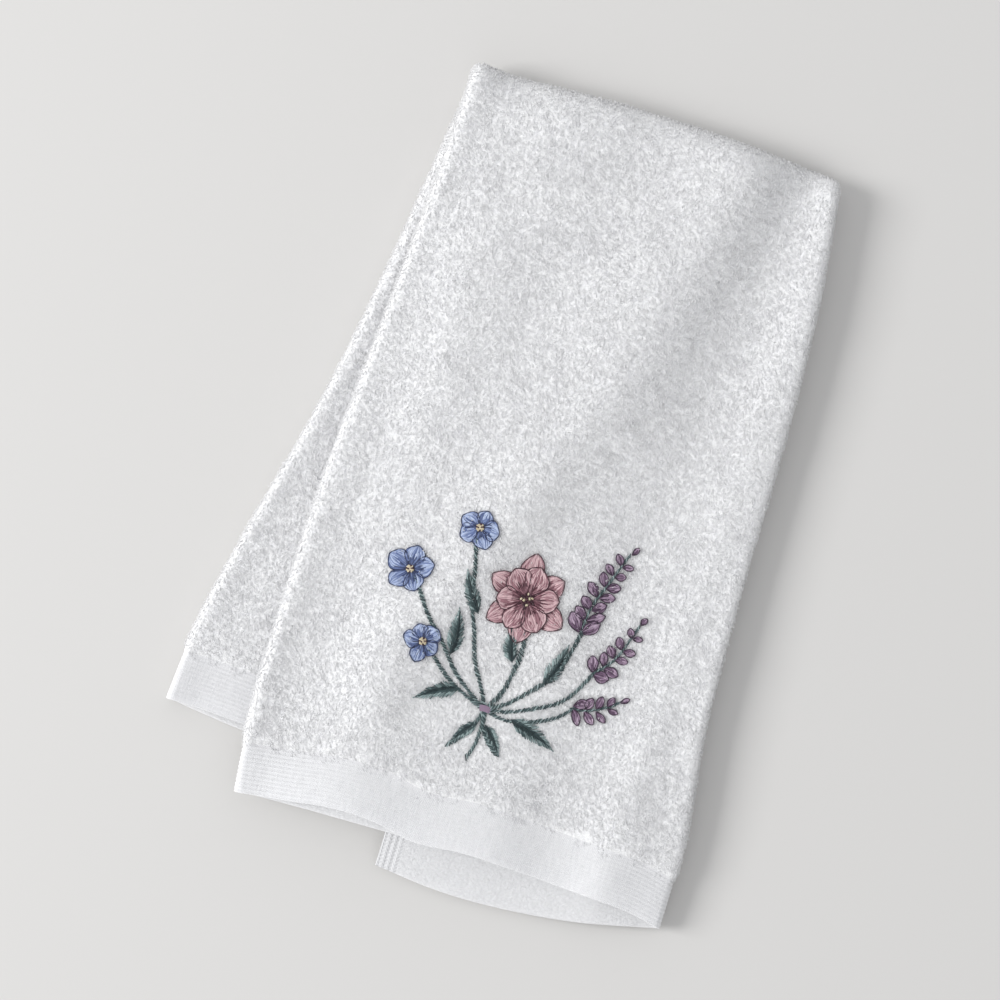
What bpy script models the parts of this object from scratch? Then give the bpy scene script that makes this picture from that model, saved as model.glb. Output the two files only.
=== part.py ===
"""A terry hand towel, folded in thirds lengthways and then once across, lying on a flat surface.

Metres, +Z up. +Y runs from the two hems to the cross fold and +X across the folded towel. The origin
is on the surface that the towel lies on, under the middle of its box.

The cloth is one sheet. Its middle strip, the panel, is the outside of the fold: the top layer of the
front leg and the bottom layer of the back leg. The left flap lies inside the panel, and the right flap
inside that. Each layer lies on what is under it, so its height is worked out from the layers below.

In the tables, across is measured from the left end of the cross fold, and down from the cross fold
towards the hems.
"""

import math

import bpy
import numpy as np

# The cloth
CLOTH_WIDTH = 0.400
CLOTH_LENGTH = 0.600
TERRY_THICKNESS = 0.0027  # the ground weave with the pile on both faces
HEM_THICKNESS = 0.0020  # the flat-woven band at each end, turned and sewn
HEM_DEPTH = 0.021
HEM_STEP = 0.002  # the pile stops over this length

# The folds
PANEL_WIDTH = 0.154  # at the cross fold
LEFT_FLAP_WIDTH = 0.1077  # at the cross fold
RIGHT_FLAP_WIDTH = CLOTH_WIDTH - PANEL_WIDTH - LEFT_FLAP_WIDTH
LAYER_PITCH = 0.0035  # from the middle of one layer to the middle of the next
SIDE_FOLD_RADIUS = 0.0026
SIDE_FOLD_LOFT = 0.45  # how much higher the cloth stands inside a side fold, in pitches
SIDE_FOLD_LOFT_WIDTH = 0.007
CROSS_FOLD_BOW = 0.0035  # the cross fold bulges this far past its two ends
CROSS_FOLD_CORNER = 0.0024  # and its left corner juts out this far
CROSS_FOLD_CORNER_WIDTH = 0.010
CROSS_FOLD_LOFT = 0.0016  # it holds the legs this much further apart
CROSS_FOLD_LOFT_REACH = 0.016

# Past the edge of what is under it, a layer stays level and then takes this far to come down
EDGE_OVERHANG = 0.005
FREE_EDGE_REACH = 0.028
SIDE_FOLD_REACH = 0.060
HEM_REACH = 0.045

# Unevenness of the loft: (share of the pitch, wavelength across, wavelength down, phase)
LOFT_WAVES = (
    (0.040, 0.110, 0.340, 0.4),
    (0.030, 0.062, 0.210, 2.1),
    (0.020, -0.085, 0.120, 4.0),
)

# Outlines of the two legs: (down, left edge, right edge)
OUTLINES = {
    "front": (
        (0.000, 0.0000, 0.1540),
        (0.035, -0.0012, 0.1590),
        (0.104, -0.0053, 0.1638),
        (0.172, -0.0098, 0.1652),
        (0.232, -0.0108, 0.1682),
        (0.278, -0.0102, 0.1742),
        (0.307, -0.0077, 0.1750),
    ),
    "back": (
        (0.000, 0.0000, 0.1540),
        (0.040, -0.0050, 0.1550),
        (0.100, -0.0128, 0.1540),
        (0.147, -0.0208, 0.1525),
        (0.214, -0.0360, 0.1490),
        (0.250, -0.0430, 0.1475),
        (0.290, -0.0466, 0.1460),
    ),
}

# The line of each hem: (across, down)
HEM_LINES = {
    ("front", "panel"): (
        (-0.006, 0.3068),
        (0.013, 0.3042),
        (0.033, 0.3010),
        (0.052, 0.3014),
        (0.066, 0.3044),
        (0.090, 0.3030),
        (0.130, 0.3050),
        (0.160, 0.3066),
        (0.175, 0.3100),
    ),
    ("front", "left_flap"): ((-0.006, 0.3068), (0.020, 0.3056), (0.097, 0.3038)),
    ("front", "right_flap"): ((0.056, 0.3196), (0.082, 0.3222), (0.128, 0.3198), (0.175, 0.3100)),
    ("back", "panel"): ((-0.046, 0.2798), (-0.034, 0.2814), (0.146, 0.2886)),
    ("back", "left_flap"): ((-0.046, 0.2798), (-0.034, 0.2800), (0.020, 0.2826)),
    ("back", "right_flap"): ((-0.005, 0.2930), (0.146, 0.2886)),
}

# The front panel's hem stands off the flaps in low arches: (height, middle across, half width, reach up)
HEM_ARCHES = (
    (0.0030, 0.040, 0.030, 0.030),
    (0.0014, 0.098, 0.026, 0.026),
    (0.0018, 0.152, 0.020, 0.040),
)

# From the surface up
LAYERS = (
    ("back", "panel"),
    ("back", "left_flap"),
    ("back", "right_flap"),
    ("front", "right_flap"),
    ("front", "left_flap"),
    ("front", "panel"),
)
# The layers whose side folds hold the cloth open, and those folds
LOFTED_FOLDS = {
    ("back", "panel"): ("left", "right"),
    ("front", "right_flap"): ("right",),
    ("front", "left_flap"): ("left",),
}

# How finely the sheet is divided
LEFT_FLAP_STEPS = 12
RIGHT_FLAP_STEPS = 17
PANEL_STEPS = 22
SIDE_FOLD_STEPS = 6
LEG_STEPS = 12
HEM_STEPS = 4
CROSS_FOLD_STEPS = 8


def smooth_curve(table, column, at):
    """A column of the table at the given places, as one smooth curve through the table's rows."""
    rows = np.array(table)
    x, y = rows[:, 0], rows[:, column]
    slope = np.gradient(y, x)
    i = np.clip(np.searchsorted(x, at) - 1, 0, len(x) - 2)
    width = x[i + 1] - x[i]
    t = np.clip((at - x[i]) / width, 0, 1)
    start, end, rise = slope[i] * width, slope[i + 1] * width, y[i + 1] - y[i]
    return y[i] + start * t + (3 * rise - 2 * start - end) * t**2 + (start + end - 2 * rise) * t**3


def ease(share):
    t = np.clip(share, 0, 1)
    return t * t * (3 - 2 * t)


def bump(distance, width):
    return np.exp(-((distance / width) ** 2))


def fold_lines(leg, down):
    """Where the middle of the cloth turns at the leg's side folds: its outline less half the thickness."""
    left = smooth_curve(OUTLINES[leg], 1, down) + TERRY_THICKNESS / 2
    right = smooth_curve(OUTLINES[leg], 2, down) - TERRY_THICKNESS / 2
    return left, right


def flap_widths(left, right):
    """The cloth left over for each flap, beyond side folds at these places."""
    return LEFT_FLAP_WIDTH + left, RIGHT_FLAP_WIDTH + PANEL_WIDTH - right


def layer_edges(layer, down):
    leg, strip = layer
    left, right = fold_lines(leg, down)
    left_flap, right_flap = flap_widths(left, right)
    edges = {
        "panel": (left, right),
        "left_flap": (left, left + left_flap),
        "right_flap": (right - right_flap, right),
    }
    return edges[strip]


def cover(layer, across, down):
    """How far a layer lifts what is above it, in pitches: 1 where it lies, and less beyond its edges."""
    left, right = layer_edges(layer, down)
    hem = smooth_curve(HEM_LINES[layer], 1, across)
    left_reach = FREE_EDGE_REACH if layer[1] == "right_flap" else SIDE_FOLD_REACH
    right_reach = FREE_EDGE_REACH if layer[1] == "left_flap" else SIDE_FOLD_REACH
    share = 1
    for past, reach in ((left - across, left_reach), (across - right, right_reach), (down - hem, HEM_REACH)):
        share = share * (1 - ease((past - EDGE_OVERHANG) / reach))
    lofted = 1
    for side in LOFTED_FOLDS.get(layer, ()):
        fold = left if side == "left" else right
        lofted = lofted + SIDE_FOLD_LOFT * bump(across - fold, SIDE_FOLD_LOFT_WIDTH)
    return share * lofted


def pitch(across, down):
    uneven = 1
    for amount, wave_across, wave_down, phase in LOFT_WAVES:
        turns = across / wave_across + down / wave_down
        uneven = uneven + amount * np.sin(2 * math.pi * turns + phase)
    return LAYER_PITCH * uneven


def hem_arch(across, down):
    hem = smooth_curve(HEM_LINES["front", "panel"], 1, across)
    rise = 0
    for height, middle, half_width, reach in HEM_ARCHES:
        rise = rise + height * bump(across - middle, half_width) * (1 - ease((hem - down) / reach))
    return rise


def height(layer, across, down):
    """The middle of a layer above the middle of the lowest one."""
    below = LAYERS[: LAYERS.index(layer)]
    rise = pitch(across, down) * sum(cover(other, across, down) for other in below)
    if layer[0] == "front":
        rise = rise + CROSS_FOLD_LOFT * bump(down, CROSS_FOLD_LOFT_REACH)
    if layer == ("front", "panel"):
        rise = rise + hem_arch(across, down)
    return rise


class Columns:
    """The sheet's columns, from the left free edge to the right one.

    share runs from the fold to the free edge on a flap, and from left to right on the panel. turn is the
    angle round a side fold, from minus a quarter turn on the flap to a quarter turn on the panel.
    """

    def __init__(self):
        quarter = math.pi / 2
        turns = [math.pi * i / SIDE_FOLD_STEPS - quarter for i in range(SIDE_FOLD_STEPS + 1)]
        rows = [("left_flap", 1 - i / LEFT_FLAP_STEPS, -quarter) for i in range(LEFT_FLAP_STEPS)]
        rows += [("left_flap", 0, turn) for turn in turns]
        rows += [("panel", i / PANEL_STEPS, quarter) for i in range(1, PANEL_STEPS)]
        rows += [("right_flap", 0, -turn) for turn in turns]
        rows += [("right_flap", (i + 1) / RIGHT_FLAP_STEPS, -quarter) for i in range(RIGHT_FLAP_STEPS)]
        self.strip = np.array([row[0] for row in rows])
        self.share = np.array([row[1] for row in rows])
        self.turn = np.array([row[2] for row in rows])

    def pick(self, left, panel, right):
        """The left value on the left flap and its fold, and so on."""
        return np.where(self.strip == "panel", panel, np.where(self.strip == "left_flap", left, right))

    def across(self, leg, down):
        left, right = fold_lines(leg, down)
        left_flap, right_flap = flap_widths(left, right)
        radius = SIDE_FOLD_RADIUS
        straight = self.share * (right - left - 2 * radius)
        turned = radius * (1 - np.cos(self.turn))
        taken = radius * math.pi / 2  # by a quarter turn of the fold
        return self.pick(
            left + turned + self.share * (left_flap - taken),
            left + radius + straight,
            right - turned - self.share * (right_flap - taken),
        )

    def between(self, panel, left_flap, right_flap):
        """The panel's value, or the flap's, or round a side fold a blend of the two."""
        flap = self.pick(left_flap, panel, right_flap)
        return (panel + flap) / 2 + np.sin(self.turn) * (panel - flap) / 2

    def height(self, leg, across, down):
        strips = ("panel", "left_flap", "right_flap")
        return self.between(*(height((leg, strip), across, down) for strip in strips))

    def hem(self, leg, across):
        strips = ("panel", "left_flap", "right_flap")
        return self.between(*(smooth_curve(HEM_LINES[leg, strip], 1, across) for strip in strips))


class CrossFold:
    """The bend across the towel: where it starts down each leg, and its middle and radius by column."""

    def __init__(self, columns):
        near = np.full(len(columns.share), TERRY_THICKNESS + 2.5 * LAYER_PITCH)
        across = (columns.across("front", near) + columns.across("back", near)) / 2
        front = columns.height("front", across, near)
        back = columns.height("back", across, near)
        outermost = (height(("front", "panel"), across, near) - height(("back", "panel"), across, near)) / 2
        bow = CROSS_FOLD_BOW * np.sin(math.pi * np.clip(across / PANEL_WIDTH, 0, 1))
        bow = bow + CROSS_FOLD_CORNER * bump(across, CROSS_FOLD_CORNER_WIDTH)
        self.start = TERRY_THICKNESS / 2 + outermost - bow
        self.middle = (front + back) / 2
        self.radius = (front - back) / 2


def half_thickness(share):
    """Half the cloth's thickness at a share of the way down a leg: the hem band is thinner."""
    into_band = (share - 1) * CLOTH_LENGTH / 2 + HEM_DEPTH
    return (TERRY_THICKNESS - (TERRY_THICKNESS - HEM_THICKNESS) * ease(into_band / HEM_STEP)) / 2


def leg_rows(columns, fold, leg, share):
    """Points of the middle of the cloth, a row for each share of the way down the leg."""
    share = share[:, None]
    down = fold.start + share * (CLOTH_LENGTH / 2 - fold.start)
    for _ in range(3):  # the hem's line depends on the place across, and that on the distance down
        across = columns.across(leg, down)
        down = fold.start + share * (columns.hem(leg, across) - fold.start)
    up = half_thickness(share) + columns.height(leg, across, down)
    return np.stack([across, -down, up], axis=2)


def fold_rows(columns, fold, turn):
    """Points of the middle of the cloth, a row for each turn round the cross fold from +90 to -90 degrees."""
    turn = turn[:, None]
    front_share = (1 + np.sin(turn)) / 2
    front, back = columns.across("front", fold.start), columns.across("back", fold.start)
    across = back + (front - back) * front_share
    down = fold.start - fold.radius * np.cos(turn)
    up = TERRY_THICKNESS / 2 + fold.middle + fold.radius * np.sin(turn)
    return np.stack([across, -down, up], axis=2)


def leg_shares():
    """The rows of a leg: even steps down to the hem band, one over the edge of the pile, and the band's."""
    band = 1 - HEM_DEPTH / (CLOTH_LENGTH / 2)
    pile_end = band + HEM_STEP / (CLOTH_LENGTH / 2)
    return np.append(np.linspace(0, band, LEG_STEPS), np.linspace(pile_end, 1, HEM_STEPS))


def sheet_points():
    """The middle of the cloth from the front hem over the cross fold to the back hem, and its thickness."""
    columns = Columns()
    fold = CrossFold(columns)
    front, back = leg_shares()[::-1], leg_shares()
    turns = np.linspace(math.pi / 2, -math.pi / 2, CROSS_FOLD_STEPS + 1)[1:-1]
    points = np.concatenate([
        leg_rows(columns, fold, "front", front),
        fold_rows(columns, fold, turns),
        leg_rows(columns, fold, "back", back),
    ])
    share = np.concatenate([front, np.zeros(len(turns)), back])
    return points, 2 * half_thickness(share)


def grid_faces(rows, columns):
    """The faces of a grid of points listed row by row."""
    corners = ((0, 0), (0, 1), (1, 1), (1, 0))
    return [
        tuple((r + down) * columns + c + along for down, along in corners)
        for r in range(rows - 1)
        for c in range(columns - 1)
    ]


def terry_material():
    material = bpy.data.materials.new("white_terry")
    material.use_nodes = True
    surface = material.node_tree.nodes["Principled BSDF"]
    surface.inputs["Base Color"].default_value = (0.86, 0.86, 0.87, 1)
    surface.inputs["Roughness"].default_value = 0.95
    surface.inputs["Metallic"].default_value = 0
    return material


def build_towel():
    points, thickness = sheet_points()
    rows, columns = points.shape[:2]
    mesh = bpy.data.meshes.new("towel_cloth")
    mesh.from_pydata(points.reshape(-1, 3).tolist(), [], grid_faces(rows, columns))
    mesh.materials.append(terry_material())
    mesh.shade_smooth()
    towel = bpy.data.objects.new("towel_cloth", mesh)
    bpy.context.scene.collection.objects.link(towel)

    thinnest = HEM_THICKNESS / TERRY_THICKNESS
    full = towel.vertex_groups.new(name="full_thickness")
    for row, thick in enumerate(thickness):
        weight = (thick / TERRY_THICKNESS - thinnest) / (1 - thinnest)
        full.add(range(row * columns, (row + 1) * columns), float(weight), "REPLACE")
    solidify = towel.modifiers.new("thickness", "SOLIDIFY")
    solidify.thickness = TERRY_THICKNESS
    solidify.offset = 0
    solidify.vertex_group = full.name
    solidify.thickness_vertex_group = thinnest
    return towel


def stand_at_origin(towel):
    """Puts the towel on z = 0 with the middle of its box over the origin."""
    bpy.context.view_layer.update()
    evaluated = towel.evaluated_get(bpy.context.evaluated_depsgraph_get())
    corners = np.array([corner[:] for corner in evaluated.bound_box])
    low, high = corners.min(axis=0), corners.max(axis=0)
    towel.location = (-(low[0] + high[0]) / 2, -(low[1] + high[1]) / 2, -low[2])


def main():
    for old in list(bpy.data.objects):
        bpy.data.objects.remove(old)
    stand_at_origin(build_towel())


main()
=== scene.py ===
import math

import bpy
import numpy as np
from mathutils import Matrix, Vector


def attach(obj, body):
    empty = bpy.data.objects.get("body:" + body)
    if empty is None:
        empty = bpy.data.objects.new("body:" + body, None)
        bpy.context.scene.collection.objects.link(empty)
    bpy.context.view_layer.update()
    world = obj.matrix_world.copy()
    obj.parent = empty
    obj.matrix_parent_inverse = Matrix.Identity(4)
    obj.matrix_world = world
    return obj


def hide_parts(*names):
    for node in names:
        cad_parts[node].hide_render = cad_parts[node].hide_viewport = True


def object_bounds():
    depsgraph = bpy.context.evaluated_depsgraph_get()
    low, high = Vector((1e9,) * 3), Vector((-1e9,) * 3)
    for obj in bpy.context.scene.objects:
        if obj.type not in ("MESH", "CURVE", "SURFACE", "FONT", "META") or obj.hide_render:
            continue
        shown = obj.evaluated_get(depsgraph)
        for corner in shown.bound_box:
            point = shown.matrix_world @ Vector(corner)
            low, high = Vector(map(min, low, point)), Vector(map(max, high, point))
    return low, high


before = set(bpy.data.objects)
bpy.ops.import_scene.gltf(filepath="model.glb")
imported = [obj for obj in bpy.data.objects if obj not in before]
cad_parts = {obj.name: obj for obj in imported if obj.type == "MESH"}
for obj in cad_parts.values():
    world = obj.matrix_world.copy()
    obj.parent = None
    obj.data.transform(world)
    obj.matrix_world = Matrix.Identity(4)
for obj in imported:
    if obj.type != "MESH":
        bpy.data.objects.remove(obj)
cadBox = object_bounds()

# A terry hand towel, folded in thirds lengthways and once across, with an embroidered posy.
# Metres. across is measured from the left end of the cross fold, down from the cross fold to the hems.

# How the cloth lies, by the same tables as the CAD node.

cloth = {
    "width": 0.400,
    "length": 0.600,
    "thickness": 0.0027,  # with the pile on both faces
    "groundHalf": 0.0016,  # half the woven ground, where loops stand on it
    "plainHalf": 0.0012,  # half the thickness where the pile lies pressed inside the folds
    "bandDepth": 0.021,
    "bandHalf": 0.0008,
    "bandStep": 0.002,  # over which the lowest layer sinks to the band's height
    "bandRibs": 12,
    "bandRibHeight": 0.0002,
    "napStart": -0.0042,  # where the first few loops stand, from the band's upper edge
    "napReach": 0.0060,
    "sideHemDepth": 0.0088,
    "sideHemHalf": 0.0008,
    "sideHemRibs": 3.5,
    "sideHemRibHeight": 0.0002,
    "hemSlope": 0.004,  # from the band up to the ground that the loops stand on
    "sideHemSlope": 0.001,
    "seamDip": 0.0005,  # where the side hem is sewn down
    "seamWidth": 0.0006,
}

# how far the loops go past a fold, and the turns of a side fold that show, in radians
shown = {"pastFold": 0.009, "pastLeg": 0.012, "firstTurn": -1.5, "lastTurn": 0.8}

# the band's ribs are pulled up most at the panel's two folds: share, middle across, half width
ribsPulled = ((0.75, 0.000, 0.030), (0.55, 0.165, 0.018))
ribsFlat = 0.25

folds = {
    "panelWidth": 0.154,  # at the cross fold
    "leftFlapWidth": 0.1077,  # at the cross fold
    "layerPitch": 0.0035,
    "sideFoldRadius": 0.0026,
    "sideFoldLoft": 0.45,
    "sideFoldLoftWidth": 0.007,
    "crossFoldBow": 0.0035,
    "crossFoldCorner": 0.0024,
    "crossFoldCornerWidth": 0.010,
    "crossFoldLoft": 0.0016,
    "crossFoldLoftReach": 0.016,
    "edgeOverhang": 0.005,
    "freeEdgeReach": 0.028,
    "sideFoldReach": 0.060,
    "hemReach": 0.045,
}
folds["rightFlapWidth"] = cloth["width"] - folds["panelWidth"] - folds["leftFlapWidth"]

# share of the pitch, wavelength across, wavelength down, phase
loftWaves = (
    (0.040, 0.110, 0.340, 0.4),
    (0.030, 0.062, 0.210, 2.1),
    (0.020, -0.085, 0.120, 4.0),
)

# down, left edge, right edge
outlines = {
    "front": (
        (0.000, 0.0000, 0.1540),
        (0.035, -0.0012, 0.1590),
        (0.104, -0.0053, 0.1638),
        (0.172, -0.0098, 0.1652),
        (0.232, -0.0108, 0.1682),
        (0.278, -0.0102, 0.1742),
        (0.307, -0.0077, 0.1750),
    ),
    "back": (
        (0.000, 0.0000, 0.1540),
        (0.040, -0.0050, 0.1550),
        (0.100, -0.0128, 0.1540),
        (0.147, -0.0208, 0.1525),
        (0.214, -0.0360, 0.1490),
        (0.250, -0.0430, 0.1475),
        (0.290, -0.0466, 0.1460),
    ),
}

# across, down
hemLines = {
    ("front", "panel"): (
        (-0.006, 0.3068),
        (0.013, 0.3042),
        (0.033, 0.3010),
        (0.052, 0.3014),
        (0.066, 0.3044),
        (0.090, 0.3030),
        (0.130, 0.3050),
        (0.160, 0.3066),
        (0.175, 0.3100),
    ),
    ("front", "leftFlap"): ((-0.006, 0.3068), (0.020, 0.3056), (0.097, 0.3038)),
    ("front", "rightFlap"): ((0.056, 0.3196), (0.082, 0.3222), (0.128, 0.3198), (0.175, 0.3100)),
    ("back", "panel"): ((-0.046, 0.2798), (-0.034, 0.2814), (0.146, 0.2886)),
    ("back", "leftFlap"): ((-0.046, 0.2798), (-0.034, 0.2800), (0.020, 0.2826)),
    ("back", "rightFlap"): ((-0.005, 0.2930), (0.146, 0.2886)),
}

# height, middle across, half width, reach up from the hem
hemArches = (
    (0.0030, 0.040, 0.030, 0.030),
    (0.0014, 0.098, 0.026, 0.026),
    (0.0018, 0.152, 0.020, 0.040),
)

# from the surface up
layers = (
    ("back", "panel"),
    ("back", "leftFlap"),
    ("back", "rightFlap"),
    ("front", "rightFlap"),
    ("front", "leftFlap"),
    ("front", "panel"),
)
loftedFolds = {
    ("back", "panel"): ("left", "right"),
    ("front", "rightFlap"): ("right",),
    ("front", "leftFlap"): ("left",),
}
strips = ("panel", "leftFlap", "rightFlap")


def smoothCurve(table, column, at):
    rows = np.array(table)
    x, y = rows[:, 0], rows[:, column]
    slope = np.gradient(y, x)
    i = np.clip(np.searchsorted(x, at) - 1, 0, len(x) - 2)
    width = x[i + 1] - x[i]
    t = np.clip((at - x[i]) / width, 0, 1)
    start, end, rise = slope[i] * width, slope[i + 1] * width, y[i + 1] - y[i]
    return y[i] + start * t + (3 * rise - 2 * start - end) * t**2 + (start + end - 2 * rise) * t**3


def ease(share):
    t = np.clip(share, 0, 1)
    return t * t * (3 - 2 * t)


def bump(distance, width):
    return np.exp(-((distance / width) ** 2))


def foldLines(leg, down):
    left = smoothCurve(outlines[leg], 1, down) + cloth["thickness"] / 2
    right = smoothCurve(outlines[leg], 2, down) - cloth["thickness"] / 2
    return left, right


def flapWidths(left, right):
    return folds["leftFlapWidth"] + left, folds["rightFlapWidth"] + folds["panelWidth"] - right


def layerEdges(layer, down):
    leg, strip = layer
    left, right = foldLines(leg, down)
    leftFlap, rightFlap = flapWidths(left, right)
    edges = {
        "panel": (left, right),
        "leftFlap": (left, left + leftFlap),
        "rightFlap": (right - rightFlap, right),
    }
    return edges[strip]


def cover(layer, across, down):
    # how far a layer lifts what is above it, in pitches
    left, right = layerEdges(layer, down)
    hem = smoothCurve(hemLines[layer], 1, across)
    leftReach = folds["freeEdgeReach"] if layer[1] == "rightFlap" else folds["sideFoldReach"]
    rightReach = folds["freeEdgeReach"] if layer[1] == "leftFlap" else folds["sideFoldReach"]
    share = 1
    past = ((left - across, leftReach), (across - right, rightReach), (down - hem, folds["hemReach"]))
    for distance, reach in past:
        share = share * (1 - ease((distance - folds["edgeOverhang"]) / reach))
    lofted = 1
    for side in loftedFolds.get(layer, ()):
        fold = left if side == "left" else right
        lofted = lofted + folds["sideFoldLoft"] * bump(across - fold, folds["sideFoldLoftWidth"])
    return share * lofted


def pitch(across, down):
    uneven = 1
    for amount, waveAcross, waveDown, phase in loftWaves:
        turns = across / waveAcross + down / waveDown
        uneven = uneven + amount * np.sin(2 * math.pi * turns + phase)
    return folds["layerPitch"] * uneven


def hemArch(across, down):
    hem = smoothCurve(hemLines["front", "panel"], 1, across)
    rise = 0
    for height, middle, halfWidth, reach in hemArches:
        rise = rise + height * bump(across - middle, halfWidth) * (1 - ease((hem - down) / reach))
    return rise


def layerHeight(layer, across, down):
    below = layers[: layers.index(layer)]
    rise = pitch(across, down) * sum(cover(other, across, down) for other in below)
    if layer[0] == "front":
        rise = rise + folds["crossFoldLoft"] * bump(down, folds["crossFoldLoftReach"])
    if layer == ("front", "panel"):
        rise = rise + hemArch(across, down)
    return rise


# The cloth as a grid: columns from one side hem to the other, rows from the front hem to the back.

grid = {
    "flapStep": 0.0080,
    "panelStep": 0.0038,
    "legStep": 0.0050,
    "hemStep": 0.00055,
    "hemZone": 0.006,  # past the band, in the same small steps
    "sideFoldSteps": 10,
    "crossFoldSteps": 16,
}


def hemDistances(depth):
    # close together where the cloth's edge is rounded, then even
    rounded = np.array([0, 0.04, 0.15, 0.35, 0.7]) * cloth["bandHalf"]
    even = np.linspace(cloth["bandHalf"], depth, round(depth / grid["hemStep"]))
    return np.concatenate([rounded, even])


def clothColumns():
    # strip, share from the fold to the side hem (or across the panel), distance from the free edge, turn
    quarter = math.pi / 2
    hem = cloth["sideHemDepth"]
    leftSteps = round((folds["leftFlapWidth"] - hem) / grid["flapStep"])
    rightSteps = round((folds["rightFlapWidth"] - hem) / grid["flapStep"])
    panelSteps = round(folds["panelWidth"] / grid["panelStep"])
    turns = np.linspace(-quarter, quarter, grid["sideFoldSteps"] + 1)
    rows = [("leftFlap", 1, d, -quarter) for d in hemDistances(hem)[:-1]]
    rows += [("leftFlap", 1 - i / leftSteps, hem, -quarter) for i in range(leftSteps)]
    rows += [("leftFlap", 0, hem, turn) for turn in turns]
    rows += [("panel", i / panelSteps, hem, quarter) for i in range(1, panelSteps)]
    rows += [("rightFlap", 0, hem, turn) for turn in turns[::-1]]
    rows += [("rightFlap", (i + 1) / rightSteps, hem, -quarter) for i in range(rightSteps)]
    rows += [("rightFlap", 1, d, -quarter) for d in hemDistances(hem)[-2::-1]]
    strip, share, fromEdge, turn = (np.array(column) for column in zip(*rows))
    return {"strip": strip, "share": share, "fromEdge": fromEdge, "turn": turn}


def pick(columns, left, panel, right):
    strip = columns["strip"]
    return np.where(strip == "panel", panel, np.where(strip == "leftFlap", left, right))


def between(columns, panel, leftFlap, rightFlap):
    flap = pick(columns, leftFlap, panel, rightFlap)
    return (panel + flap) / 2 + np.sin(columns["turn"]) * (panel - flap) / 2


def placeAcross(columns, leg, down):
    left, right = foldLines(leg, down)
    leftFlap, rightFlap = flapWidths(left, right)
    radius = folds["sideFoldRadius"]
    taken = radius * math.pi / 2
    hem = cloth["sideHemDepth"]
    turned = radius * (1 - np.cos(columns["turn"]))

    def fromFold(flap):
        return columns["share"] * (flap - taken - hem) + hem - columns["fromEdge"]

    straight = columns["share"] * (right - left - 2 * radius)
    return pick(
        columns,
        left + turned + fromFold(leftFlap),
        left + radius + straight,
        right - turned - fromFold(rightFlap),
    )


def columnHeight(columns, leg, across, down):
    return between(columns, *(layerHeight((leg, strip), across, down) for strip in strips))


def columnHem(columns, leg, across):
    return between(columns, *(smoothCurve(hemLines[leg, strip], 1, across) for strip in strips))


def crossFold(columns):
    near = np.full(len(columns["share"]), cloth["thickness"] + 2.5 * folds["layerPitch"])
    across = (placeAcross(columns, "front", near) + placeAcross(columns, "back", near)) / 2
    front = columnHeight(columns, "front", across, near)
    back = columnHeight(columns, "back", across, near)
    top, bottom = (layerHeight((leg, "panel"), across, near) for leg in ("front", "back"))
    outermost = (top - bottom) / 2
    bow = folds["crossFoldBow"] * np.sin(math.pi * np.clip(across / folds["panelWidth"], 0, 1))
    bow = bow + folds["crossFoldCorner"] * bump(across, folds["crossFoldCornerWidth"])
    start = cloth["thickness"] / 2 + outermost - bow
    return {"start": start, "middle": (front + back) / 2, "radius": (front - back) / 2}


def lowest(fromHem):
    # the middle of the lowest layer: its underside is on the floor, in the thinner band as well
    inBand = ease((cloth["bandDepth"] - fromHem) / cloth["bandStep"])
    terry, band = cloth["thickness"] / 2, cloth["bandHalf"] + cloth["bandRibHeight"]
    return terry + (band - terry) * inBand


def legPoints(columns, fold, leg, share, fromHem):
    share, fromHem = share[:, None], fromHem[:, None]
    zone = cloth["bandDepth"] + grid["hemZone"]
    down = fold["start"] + share * (cloth["length"] / 2 - fold["start"])
    for _ in range(3):  # the hem's line depends on the place across, and that on the distance down
        across = placeAcross(columns, leg, down)
        hem = columnHem(columns, leg, across)
        down = fold["start"] + share * (hem - zone - fold["start"]) + zone - fromHem
    up = lowest(fromHem) + columnHeight(columns, leg, across, down)
    return np.stack([across, -down, up], axis=2)


def foldPoints(columns, fold, turn):
    turn = turn[:, None]
    frontShare = (1 + np.sin(turn)) / 2
    front, back = placeAcross(columns, "front", fold["start"]), placeAcross(columns, "back", fold["start"])
    across = back + (front - back) * frontShare
    down = fold["start"] - fold["radius"] * np.cos(turn)
    up = cloth["thickness"] / 2 + fold["middle"] + fold["radius"] * np.sin(turn)
    return np.stack([across, -down, up], axis=2)


def unit(vectors):
    return vectors / np.linalg.norm(vectors, axis=-1, keepdims=True)


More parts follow.
